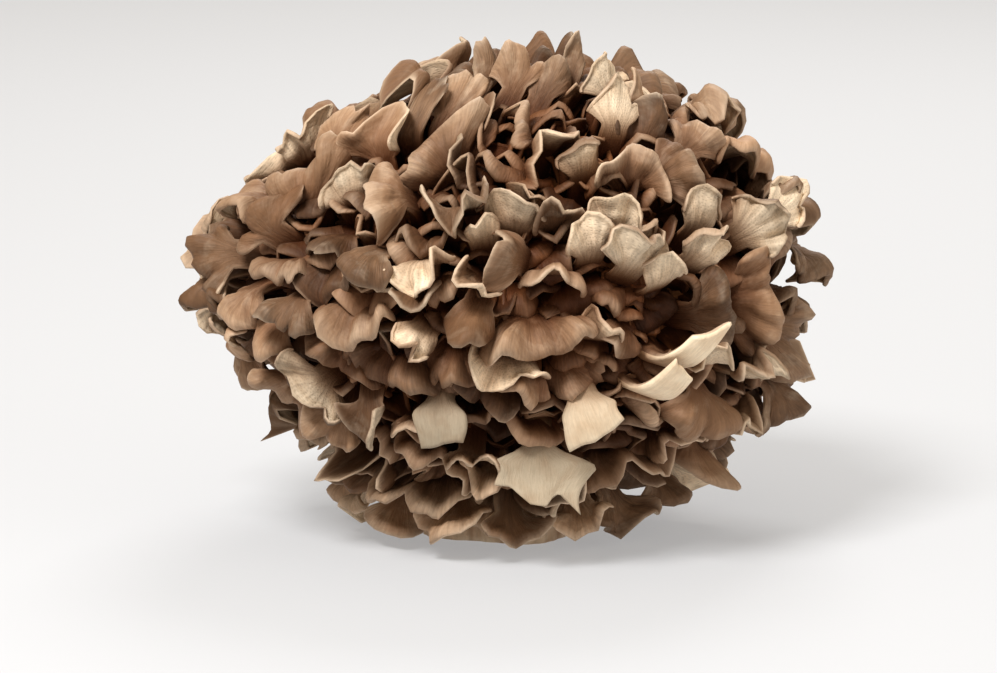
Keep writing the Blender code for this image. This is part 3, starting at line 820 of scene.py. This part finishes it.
def sheet_faces(rows, columns):
    """Quads of the upper sheet and then of the lower, as rows of point numbers, and the points used.

    The lower sheet has its own points, numbered after the upper ones, apart from the outline's.
    """
    upper = np.arange(rows * columns).reshape(rows, columns)
    lower = upper + rows * columns
    lower[[0, -1], :] = upper[[0, -1], :]
    lower[:, [0, -1]] = upper[:, [0, -1]]
    corners = [(s[:-1, :-1], s[:-1, 1:], s[1:, 1:], s[1:, :-1]) for s in (upper, lower)]
    above, below = (np.stack(corner, axis=-1).reshape(-1, 4) for corner in corners)
    faces = np.concatenate((above, below[:, ::-1]))
    used, faces = np.unique(faces, return_inverse=True)
    return faces.reshape(-1, 4), used


# %% [markdown]
# The solid's blade is a plain round one. A real cap is a fan: its fibres part where the stalk ends and run
# out to a margin that is longer than the room it has, so it ruffles and rolls over. Here each fibre line is
# walked in short equal steps from the stalk to the margin. The slope of the walk, an angle that changes from
# step to step and from line to line, makes the ruffles and the roll without stretching the cap.

# %% What one frond draws for itself
FAN_STARTS = (0.30, 0.60)  # how far along a frond the lines of its fan part, at the least and at the most
TORN_SHARE = 0.62  # how much of a torn frond's length shows as a slab
WIDE_SLAB = 12 * MILLIMETRE  # half the width from which on a torn frond's end is fully jagged
# Painted shade on torn flesh: darker to the left of the head and lighter to the right. Places across the
# head, and tones there
TORN_SHADE_TONES = (-0.25, 0.15, 0.30, 0.50), (0.0, 0.25, 0.70, 1.0)
WIDE_CAP = 11 * MILLIMETRE  # half the width from which on a cap is fully crumpled
UNDER_FOLDS = 1.8  # how much more a frond is folded that shows its underside
SLAB_RAGGED = 0.16  # how far a torn frond's sides go in and out, as a share of its half width
FULL_CURL = 3.2 * MILLIMETRE  # a roll of the solid's margin that stands for one radian here


def fine_traits(f, rng):
    """The draws that give one frond its own fan and margin. A torn frond is nearly flat."""
    notches = int(rng.integers(0, 3))
    stops = np.linspace(0, 1, 33)
    ends, _ = spine_of(f, stops)
    to_tip = np.insert(np.cumsum(np.linalg.norm(np.diff(ends, axis=0), axis=1)[::-1]), 0, 0.0)
    torn = f["kind"] == "torn"
    life = 0.15 if torn else 1.0
    folds = min(f["half_width"] / WIDE_CAP, 1.0) * (UNDER_FOLDS if f["kind"] == "under" else 1.0)
    long = np.linalg.norm(f["curve"][3] - f["curve"][2]) / NECK_BACK
    broad = TORN_SHARE * long if torn else rng.uniform(1.15, 1.75) * f["half_width"]
    return {
        "slab": float(torn),
        "breaks": rng.uniform(0, 0.3, 6) * torn * min(f["half_width"] / WIDE_SLAB, 1.0) ** 2,
        "slant": rng.uniform(-0.40, 0.40) * torn,
        "taper": rng.uniform(0.15, 0.45) * torn,
        "wear": rng.uniform(0, 0.085, 11) * (not torn),
        "fan": math.radians(rng.uniform(48, 74)),
        "start": float(np.clip(1 - np.interp(broad, to_tip, stops), *FAN_STARTS)),
        "corner": rng.uniform(0.22, 0.44) * (not torn),
        "lobes": rng.uniform(0.9, 2.4),
        "lobe_depth": rng.uniform(0.03, 0.18) * (not torn),
        "lobe_phase": rng.uniform(0, 2 * math.pi),
        "notch_at": rng.uniform(-0.7, 0.7, notches),
        "notch_depth": rng.uniform(0.08, 0.26, notches) * (not torn),
        "notch_width": rng.uniform(0.07, 0.15, notches),
        "ruffles": 2.5 * f["half_width"] / (rng.uniform(14, 26) * MILLIMETRE),
        "ruffle": rng.uniform(0.28, 0.72) * life,
        "ruffle_phase": rng.uniform(0, 2 * math.pi, 3),
        "frill": rng.uniform(0.0, 0.26) * life,
        "crumple": rng.uniform(0.12, 0.50) * life * folds,
        "roll": f["curl"] / FULL_CURL,
        "roll_from": rng.uniform(0.50, 0.74),
        "lip": rng.uniform(0.8, 3.1) * life,
        "twist": rng.uniform(-0.38, 0.38) * life,
        "thick": rng.uniform(0.8, 1.2) + 0.9 * torn,
        # A torn frond's tone is painted shade, set by its place across the head
        "tone": float(np.interp(f["direction"][0], *TORN_SHADE_TONES)) if torn else rng.uniform(0, 1),
        "warmth": rng.uniform(0, 1) ** 2,
        "seed": rng.uniform(0, 400),
    }


# %% The fan
def fan_reach(traits, u):
    """How far each fibre line runs: less at the corners, between lobes and in notches.

    The margin is worn a little unevenly. A torn frond ends in slanting straight breaks instead.
    """
    reach = 1 - traits["corner"] * u**4
    for uneven_end in (traits["breaks"], traits["wear"]):
        reach -= np.interp(u, np.linspace(-1, 1, len(uneven_end)), uneven_end)
    reach -= 0.5 * (abs(traits["slant"]) + traits["slant"] * u)
    lobes = np.sin(traits["lobes"] * math.pi * u + traits["lobe_phase"])
    reach -= traits["lobe_depth"] * (0.5 + 0.5 * lobes)
    for place, depth, width in zip(traits["notch_at"], traits["notch_depth"], traits["notch_width"]):
        reach -= depth * np.exp(-(((u - place) / width) ** 2))
    return reach


def fibre_slopes(traits, u, t):
    """The slope of each fibre line at a share t of its length, in radians, and the ruffle's wave."""
    first, second, third = traits["ruffle_phase"]
    wave = traits["ruffles"] * math.pi * u + first
    slope = traits["ruffle"] * smooth(t, 0.05, 0.85) * np.sin(wave)
    frill = np.sin(2.3 * wave + second) * (0.6 + 0.4 * np.sin(2 * u + third))
    slope += traits["frill"] * smooth(t, 0.55, 1.0) * frill
    dents = np.sin(1.6 * wave + 8 * t + second) * np.sin(0.9 * wave - 11 * t + third)
    slope += traits["crumple"] * smooth(t, 0.1, 0.5) * dents
    uneven = 0.75 + 0.25 * np.sin(1.9 * u + second)
    slope -= traits["roll"] * smooth(t, traits["roll_from"], 1.0) * uneven
    slope -= traits["lip"] * smooth(t, 0.82, 1.0) * (0.6 + 0.4 * np.sin(2.6 * u + third))
    return slope, wave


def fine_middle(f, traits, u, v):
    """The frond's middle surface over a grid of rows by columns.

    Over the blade the walked lines fan out from the stalk's end by their angle. Wide crests and steep sides
    come from shifting each line toward the nearest crest, by the sine of twice the wave.
    """
    start = traits["start"]
    t = np.clip((v - start) / (1 - start), 0, 1)
    slope, wave = fibre_slopes(traits, u, t)
    reach = fan_reach(traits, u)
    step = np.diff(t, axis=0, prepend=t[:1]) * reach
    out = np.cumsum(step * np.cos(slope), axis=0)
    lift = np.cumsum(step * np.sin(slope), axis=0)
    steep = min(traits["ruffle"] / 0.5, 1.0)
    shifted = u + 0.15 * steep / (traits["ruffles"] * math.pi) * np.sin(2 * wave) * smooth(t, 0.2, 1.0)
    angle = shifted * traits["fan"] * (1 - traits["slab"])
    widest = (reach[-1] * np.sin(np.abs(u[-1]) * traits["fan"])).max()
    ragged = 1 + SLAB_RAGGED * np.sin(11 * v + 2.5 * u + traits["ruffle_phase"][0]) - traits["taper"] * t
    slab = traits["slab"] * u * ragged * smooth(v, start - 0.1, start + 0.1)
    parting = out * np.sin(angle) / widest + slab
    side = STALK_HALF_WIDTH * u + (f["half_width"] * 1.1 - STALK_HALF_WIDTH) * parting
    ahead = np.where(v < start, v, start + (1 - start) * out * np.cos(angle))
    ends, _ = spine_of(f, np.linspace(start, 1, 9))
    blade = np.linalg.norm(np.diff(ends, axis=0), axis=1).sum()
    lift = lift * blade + f["cup"] * (side / f["half_width"]) ** 2 * smooth(t, 0.0, 0.8)
    turn = traits["twist"] * smooth(t, 0.0, 0.8)
    side, lift = side * np.cos(turn) - lift * np.sin(turn), side * np.sin(turn) + lift * np.cos(turn)
    spine, upper = spine_of(f, ahead)
    return spine + f["across"] * side[..., None] + upper * lift[..., None], upper


# %% [markdown]
# The walk gives the middle of the flesh. The two sheets stand off it by half the thickness, which falls to
# nothing at the outline along a quarter circle, so that the margin is round.

# %% The body of a frond
BLADE_THICKNESS = 1.15 * MILLIMETRE
STALK_THICKNESS = 4.2 * MILLIMETRE
LOWEST = 1.2 * MILLIMETRE


def run_lengths(points, axis):
    """Lengths along the grid's lines from the first point of each."""
    steps = np.linalg.norm(np.diff(points, axis=axis), axis=2)
    return np.insert(np.cumsum(steps, axis=axis), 0, 0.0, axis=axis)


def grid_normals(grid, upper):
    """Unit normals of a grid of points, turned to the upper side at the start of the frond."""
    along, across = np.gradient(grid, axis=(0, 1))
    normal = np.cross(across, along)
    size = np.linalg.norm(normal, axis=2)[..., None]
    normal = normal + upper * 0.004 * size.max()
    return normal / np.linalg.norm(normal, axis=2)[..., None]


def fine_frond(f, rng, cell=CELL):
    """Points, faces and carried numbers of one closed frond.

    The thickness t falls to nothing at the outline as t sqrt(e (2 - e)), where e is the way to the outline
    over half of t.
    """
    traits = fine_traits(f, rng)
    columns = int(np.clip(round(2.6 * f["half_width"] / cell), 11, 39)) | 1
    rows = int(np.clip(round(USUAL_LENGTH / cell), *ROWS_RANGE))
    u, v = frond_grid(columns, rows)
    middle, upper = fine_middle(f, traits, u, v)
    normal = grid_normals(middle, upper)
    across_run, along_run = run_lengths(middle, 1), run_lengths(middle, 0)
    to_side = np.minimum(across_run, across_run[:, -1:] - across_run)
    to_margin = np.minimum(to_side, along_run[-1:, :] - along_run)
    thick = (STALK_THICKNESS + (BLADE_THICKNESS - STALK_THICKNESS) * smooth(v, 0.1, 0.6)) * traits["thick"]
    nearness = np.clip(np.minimum(to_margin, along_run) / (0.55 * thick), 0, 1)
    rise = normal * (0.5 * thick * np.sqrt(nearness * (2 - nearness)))[..., None]
    points = np.concatenate(((middle + rise).reshape(-1, 3), (middle - rise).reshape(-1, 3)))
    points[:, 2] = np.maximum(points[:, 2], LOWEST)
    half, centre = head_axes()
    depth = 1 - np.linalg.norm((points - centre) / half, axis=1)
    points = uneven(points)
    rim = np.exp(-to_margin / (0.6 * MILLIMETRE)) * smooth(v, 0.3, 0.5)
    grain = np.stack(
        (u * f["half_width"] / MILLIMETRE, along_run / MILLIMETRE, np.full(u.shape, traits["seed"])), axis=-1
    )
    faces, used = sheet_faces(rows, columns)
    carried = {
        "grain": np.tile(grain.reshape(-1, 3), (2, 1))[used],
        "reach": np.tile(v.ravel(), 2)[used],
        "rim": np.tile(rim.ravel(), 2)[used],
        # deep is how far inside the head a point lies, which the finishes turn into painted shade
        "deep": smooth(depth, 0.04, 0.26)[used],
        "tone": np.full(len(used), traits["tone"]),
        "warmth": np.full(len(used), traits["warmth"]),
    }
    skins = np.repeat((0, 1), len(faces) // 2)
    return points[used], faces, skins, carried


# %% [markdown]
# Two hundred objects would be slow to handle. The fronds are gathered by the side of the head that they
# grow on, and each side is one mesh.

# %% Gather fronds into pieces
def gathered(name, fronds, finishes):
    """One mesh object of many closed fronds, with the carried numbers as attributes of its points."""
    starts = np.cumsum([0] + [len(points) for points, _, _, _ in fronds])
    points = np.concatenate([part[0] for part in fronds]).astype(np.float32)
    faces = np.concatenate([part[1] + start for part, start in zip(fronds, starts)])
    mesh = bpy.data.meshes.new(name)
    mesh.vertices.add(len(points))
    mesh.vertices.foreach_set("co", points.ravel())
    mesh.loops.add(faces.size)
    mesh.loops.foreach_set("vertex_index", faces.ravel().astype(np.int32))
    mesh.polygons.add(len(faces))
    mesh.polygons.foreach_set("loop_start", np.arange(0, faces.size, 4, dtype=np.int32))
    for finish in finishes:
        mesh.materials.append(finish)
    skins = np.concatenate([part[2] for part in fronds]).astype(np.int32)
    mesh.polygons.foreach_set("material_index", skins)
    mesh.update(calc_edges=True)
    mesh.validate()
    mesh.shade_smooth()
    for key in fronds[0][3]:
        values = np.concatenate([part[3][key] for part in fronds]).astype(np.float32)
        kind = "FLOAT_VECTOR" if values.ndim == 2 else "FLOAT"
        attribute = mesh.attributes.new(key, kind, "POINT")
        attribute.data.foreach_set("vector" if values.ndim == 2 else "value", values.ravel())
    piece = bpy.data.objects.new(name, mesh)
    bpy.context.scene.collection.objects.link(piece)
    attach(piece, "root")
    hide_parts("maitake")
    print(name, "fronds", len(fronds), "triangles", 2 * len(faces))
    return piece


CROWN_FROM = 0.62
LEVEL_FROM = -0.05


def side_of(direction):
    """The name of the side of the head that a direction points to."""
    x, y, height = direction
    if height > CROWN_FROM:
        return "crown_front" if y < 0 else "crown_back"
    turn = math.degrees(math.atan2(x, -y)) % 360
    side = ("front", "right", "back", "left")[int(((turn + 45) % 360) // 90)]
    return f"{side}_{'high' if height > LEVEL_FROM else 'low'}"


# %% The fronds of the head
fine_rng = np.random.default_rng(SEED)
sides = {}
torn = []
for blade in blades:
    made = fine_frond(blade, fine_rng)
    if blade["kind"] == "torn":
        torn.append(made)
    else:
        sides.setdefault(side_of(blade["direction"]), []).append(made)
for side, fronds in sorted(sides.items()):
    gathered(f"fronds_{side}", fronds, (CAP_SKIN, PORE_SKIN))
gathered("fronds_torn", torn, (CAP_SKIN, TORN_FLESH))

# %% [markdown]
# Between the big fronds, and in a ring around the foot, are younger ones that never had the room to
# spread. They close the gaps that a few hundred faces of solid can't, and they make the close layers that
# the head is known for. One grows wherever the way in from outside is still open some way below the tips
# of the others.

# %% The young fronds in the gaps
YOUNG_SPOTS = 1500
YOUNG_CELL = 1.9 * MILLIMETRE
YOUNG_DEPTH = (0.84, 0.955)
DEEPER = (0.78, 0.90)
YOUNG_WIDTH = (10, 20)
YOUNG_LENGTH = (14, 22)
HOLLOW_SHARE = 0.84  # a place is hollow if no frond is met before this share of the head
RING_SPOTS = 90
RING_HEIGHTS = (-0.83, -0.93)
RING_DEPTH = (0.99, 1.08)
RING_SIZE = (23, 18)


def ring_spots():
    """Directions low around the foot, where the last fronds hang down to whatever the head stands on."""
    height = np.linspace(*RING_HEIGHTS, RING_SPOTS)
    turn = GOLDEN_ANGLE * np.arange(RING_SPOTS)
    width = np.sqrt(1 - height**2)
    return np.stack((width * np.sin(turn), -width * np.cos(turn), height), axis=1)


def grow_young(others):
    """Small fronds at the hollow spots, bent clear of the big ones, or deep behind if there's no room."""
    rng = random.Random(SEED + 1)
    grown = []
    for direction in spiral_spots(YOUNG_SPOTS):
        if is_open(direction, others, HOLLOW_SHARE):
            frond = filling_frond(direction, 1.0, 1.0, rng)
            frond = frond._replace(
                wide=rng.uniform(*YOUNG_WIDTH),
                long=rng.uniform(*YOUNG_LENGTH),
                lean=frond.lean + rng.uniform(0, 40),
                depth=rng.uniform(*YOUNG_DEPTH),
            )
            before = len(grown)
            grow_one(direction, frond, grown, others, rng)
            if len(grown) == before:
                grown.append(placed_frond(direction, frond._replace(depth=rng.uniform(*DEEPER)), rng))
                others.append(outline_of(grown[-1]))
    for direction in ring_spots():
        frond = filling_frond(direction, *RING_SIZE, rng)._replace(depth=rng.uniform(*RING_DEPTH))
        grow_one(direction, frond, grown, others, rng)
    return grown


young = {}
for blade in grow_young([outline_of(blade) for blade in blades]):
    side = side_of(blade["direction"]).split("_")[0]
    young.setdefault(side, []).append(fine_frond(blade, fine_rng, YOUNG_CELL))
for side, fronds in sorted(young.items()):
    gathered(f"young_{side}", fronds, (CAP_SKIN, PORE_SKIN))

# %% [markdown]
# The branches meet in a solid middle, and below it is the foot, cut flat with a knife. The middle is a
# sphere's grid pushed in and out, and the foot a turned profile whose wall is fluted where branches begin.

# %% The middle
def closed_grid(points):
    """Quads of a grid whose last column joins its first. Its end rows are already drawn to a point."""
    rows, columns, _ = points.shape
    number = np.arange(rows * columns).reshape(rows, columns)
    beside = np.roll(number, -1, axis=1)
    return np.stack((number[:-1], beside[:-1], beside[1:], number[1:]), axis=-1).reshape(-1, 4)


ROUND_TRAITS = {"reach": 0.3, "rim": 0.0, "tone": 0.45, "warmth": 0.3}


def turned(name, points, finishes, skins, deep, grain):
    """A closed round piece from a grid of points, rows from bottom to top, welded at its two ends."""
    # deep carries the painted shade of a round piece
    carried = {"grain": grain.reshape(-1, 3), "deep": deep.ravel()}
    for key, value in ROUND_TRAITS.items():
        carried[key] = np.full(deep.size, value)
    part = points.reshape(-1, 3), closed_grid(points), np.repeat(skins, points.shape[1]), carried
    piece = gathered(name, [part], finishes)
    weld = piece.modifiers.new("close_ends", "WELD")
    weld.merge_threshold = 0.00002
    return piece


MIDDLE_SHARE = 0.66
MIDDLE_ROWS, MIDDLE_COLUMNS = 48, 84

polar = np.linspace(math.pi, 0, MIDDLE_ROWS)
around = np.linspace(0, 2 * math.pi, MIDDLE_COLUMNS, endpoint=False)
polar, around = np.meshgrid(polar, around, indexing="ij")
unit = np.stack((np.sin(polar) * np.cos(around), np.sin(polar) * np.sin(around), np.cos(polar)), axis=-1)
x, y, z = unit[..., 0], unit[..., 1], unit[..., 2]
folds = 0.030 * np.sin(9 * x + 4 * np.sin(5 * z)) * np.sin(8 * y + 2 * x)
folds += 0.018 * np.sin(19 * z + 6 * x) * np.cos(17 * y)
half, centre = head_axes()
middle_points = centre + unit * half * (MIDDLE_SHARE + folds * np.sin(polar))[..., None]
middle_points = uneven(middle_points.reshape(-1, 3)).reshape(middle_points.shape)
middle_grain = unit * half / MILLIMETRE
# The middle gets full painted shade, as it lies deep inside the head
turned("branch_middle", middle_points, (STALK_SKIN,), np.zeros(MIDDLE_ROWS - 1, int),
       np.ones_like(x), middle_grain)

# %% The foot
FOOT_TOP = 0.050
FOOT_ROWS, FOOT_COLUMNS = 44, 180
CUT_ROWS = 12
STALKS = 13
FURROW = 0.09  # how deep the furrows between the stalks are, as a share of the foot's radius


def ridged(angle):
    """1 on broad round ridges and 0 in the narrow furrows between them."""
    return np.abs(np.sin(angle)) ** 0.6


row = np.arange(FOOT_ROWS)[:, None]
around = np.linspace(0, 2 * math.pi, FOOT_COLUMNS, endpoint=False)[None, :]
across_cut = np.minimum(row / CUT_ROWS, 1.0)
rising = np.clip((row - CUT_ROWS) / (FOOT_ROWS - 1 - CUT_ROWS), 0, 1)
stalk = ridged(STALKS / 2 * around + 0.9 * np.sin(3 * around + 2 * rising) + 1.1 * rising)
strand = ridged(19 * around + 2.0 * np.sin(2 * around) + 3.0 * rising)
furrows = FURROW * (0.25 + 0.75 * rising) * (1 - stalk) + 0.02 * (1 - strand)
radius = (FOOT_RADIUS + (FOOT_NECK_RADIUS - FOOT_RADIUS) * rising) * across_cut
radius = radius * (1 + FLUTE_DEPTH * np.cos(FOOT_FLUTES * around)) * (1 - furrows * across_cut)
radius = np.where(row == FOOT_ROWS - 1, 0, radius)
height = FOOT_TOP * rising * np.ones_like(around)
foot_points = np.stack((radius * np.cos(around), radius * np.sin(around), height), axis=-1)
foot_grain = np.stack((around * FOOT_RADIUS / MILLIMETRE + 0 * rising, (height + radius) / MILLIMETRE,
                       np.full(height.shape, 7.0)), axis=-1)
# Painted shade: darker in the furrows between the stalks and toward the top, under the head
foot_painted_shade = np.clip(0.05 + 0.50 * (1 - stalk) + 0.15 * (1 - strand) + 0.85 * rising, 0, 1)
turned("cut_foot", foot_points, (TORN_FLESH, STALK_SKIN), (np.arange(FOOT_ROWS - 1) >= CUT_ROWS).astype(int),
       foot_painted_shade, foot_grain)

# %% [markdown]
# The stage is a wide pale floor under a pale sky, so the horizon hardly shows. One large soft lamp stands
# high in front, a second fills from the right, and a third lights the crown from behind.

# %% Floor
FLOOR_SIZE = 40.0
bpy.ops.mesh.primitive_plane_add(size=FLOOR_SIZE)
floor = bpy.context.object
floor.name = "floor"
plain = Finish("floor_white", 0.8, 0.2)
shader = plain.shader
shader.inputs["Base Color"].default_value = (0.36, 0.363, 0.37, 1)
shader.inputs["Emission Color"].default_value = (0.97, 0.98, 1.0, 1)
shader.inputs["Emission Strength"].default_value = 0.29
floor.data.materials.append(plain.material)

# %% Sky and lamps
world = bpy.data.worlds.new("pale_sky")
bpy.context.scene.world = world
world.use_nodes = True
world.node_tree.nodes["Background"].inputs["Color"].default_value = (1.0, 0.89, 0.75, 1)
world.node_tree.nodes["Background"].inputs["Strength"].default_value = 0.44


def soft_lamp(name, place, size, power):
    """A square area lamp that looks at the middle of the head."""
    data = bpy.data.lights.new(name, "AREA")
    data.shape = "SQUARE"
    data.size = size
    data.energy = power
    lamp = bpy.data.objects.new(name, data)
    bpy.context.scene.collection.objects.link(lamp)
    lamp.location = place
    to_head = Vector((0, 0, HEAD_HEIGHT / 2)) - lamp.location
    lamp.rotation_mode = "QUATERNION"
    lamp.rotation_quaternion = to_head.to_track_quat("-Z", "Y")


soft_lamp("key_lamp", (-0.45, -0.75, 1.15), 0.45, 17.8)
soft_lamp("fill_lamp", (1.1, -0.7, 0.5), 0.9, 3.0)
soft_lamp("crown_lamp", (0.2, 0.9, 1.0), 0.6, 7.0)
bpy.context.scene.view_settings.view_transform = "Standard"
bpy.context.scene.view_settings.look = "Medium High Contrast"
